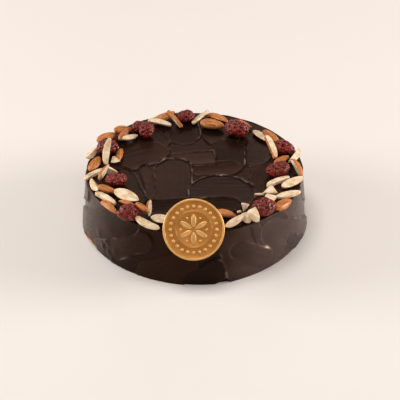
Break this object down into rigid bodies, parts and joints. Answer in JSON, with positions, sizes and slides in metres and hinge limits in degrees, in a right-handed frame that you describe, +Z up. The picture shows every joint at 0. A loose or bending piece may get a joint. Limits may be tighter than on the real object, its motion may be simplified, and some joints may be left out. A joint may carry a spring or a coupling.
{
  "type": "chocolate cake",
  "caption": "Round whole chocolate cake in knife-worked dark ganache, ringed with almonds and dried berries, with a chocolate medallion leaning on the front of its rim.",
  "frame": {"origin": "middle of the cake's flat base, on the surface that it stands on", "axes": "+Z is up along the cake's axis; -Y is the front, where the medallion leans; +X is the right seen from the front"},
  "size_m": [0.1898, 0.1987, 0.0722],
  "materials": {
    "ganache": "satin",
    "medallion": "satin",
    "almond": "matt",
    "berry": "matt"
  },
  "bodies": {
    "root": {"cake": "ganache", "medallion": "medallion", "berry_01": "berry", "berry_02": "berry", "berry_03": "berry", "berry_04": "berry", "berry_05": "berry", "berry_06": "berry", "berry_07": "berry", "berry_08": "berry", "berry_09": "berry", "berry_10": "berry", "almond_01": "almond", "almond_02": "almond", "almond_03": "almond", "almond_04": "almond", "almond_05": "almond", "almond_06": "almond", "almond_07": "almond", "almond_08": "almond", "almond_09": "almond", "almond_10": "almond", "almond_11": "almond", "almond_12": "almond", "almond_13": "almond", "almond_14": "almond", "almond_15": "almond", "almond_16": "almond", "almond_17": "almond", "almond_18": "almond", "almond_19": "almond", "almond_20": "almond", "almond_21": "almond", "almond_22": "almond", "almond_23": "almond", "almond_24": "almond", "almond_25": "almond", "almond_26": "almond", "almond_27": "almond", "almond_28": "almond", "almond_29": "almond", "almond_30": "almond", "almond_31": "almond", "almond_32": "almond", "almond_33": "almond", "almond_34": "almond", "almond_35": "almond", "almond_36": "almond", "almond_37": "almond", "almond_38": "almond", "almond_39": "almond", "almond_40": "almond", "almond_41": "almond", "almond_42": "almond", "almond_43": "almond", "almond_44": "almond", "almond_45": "almond", "almond_46": "almond", "almond_47": "almond", "almond_48": "almond"}
  },
  "joints": []
}
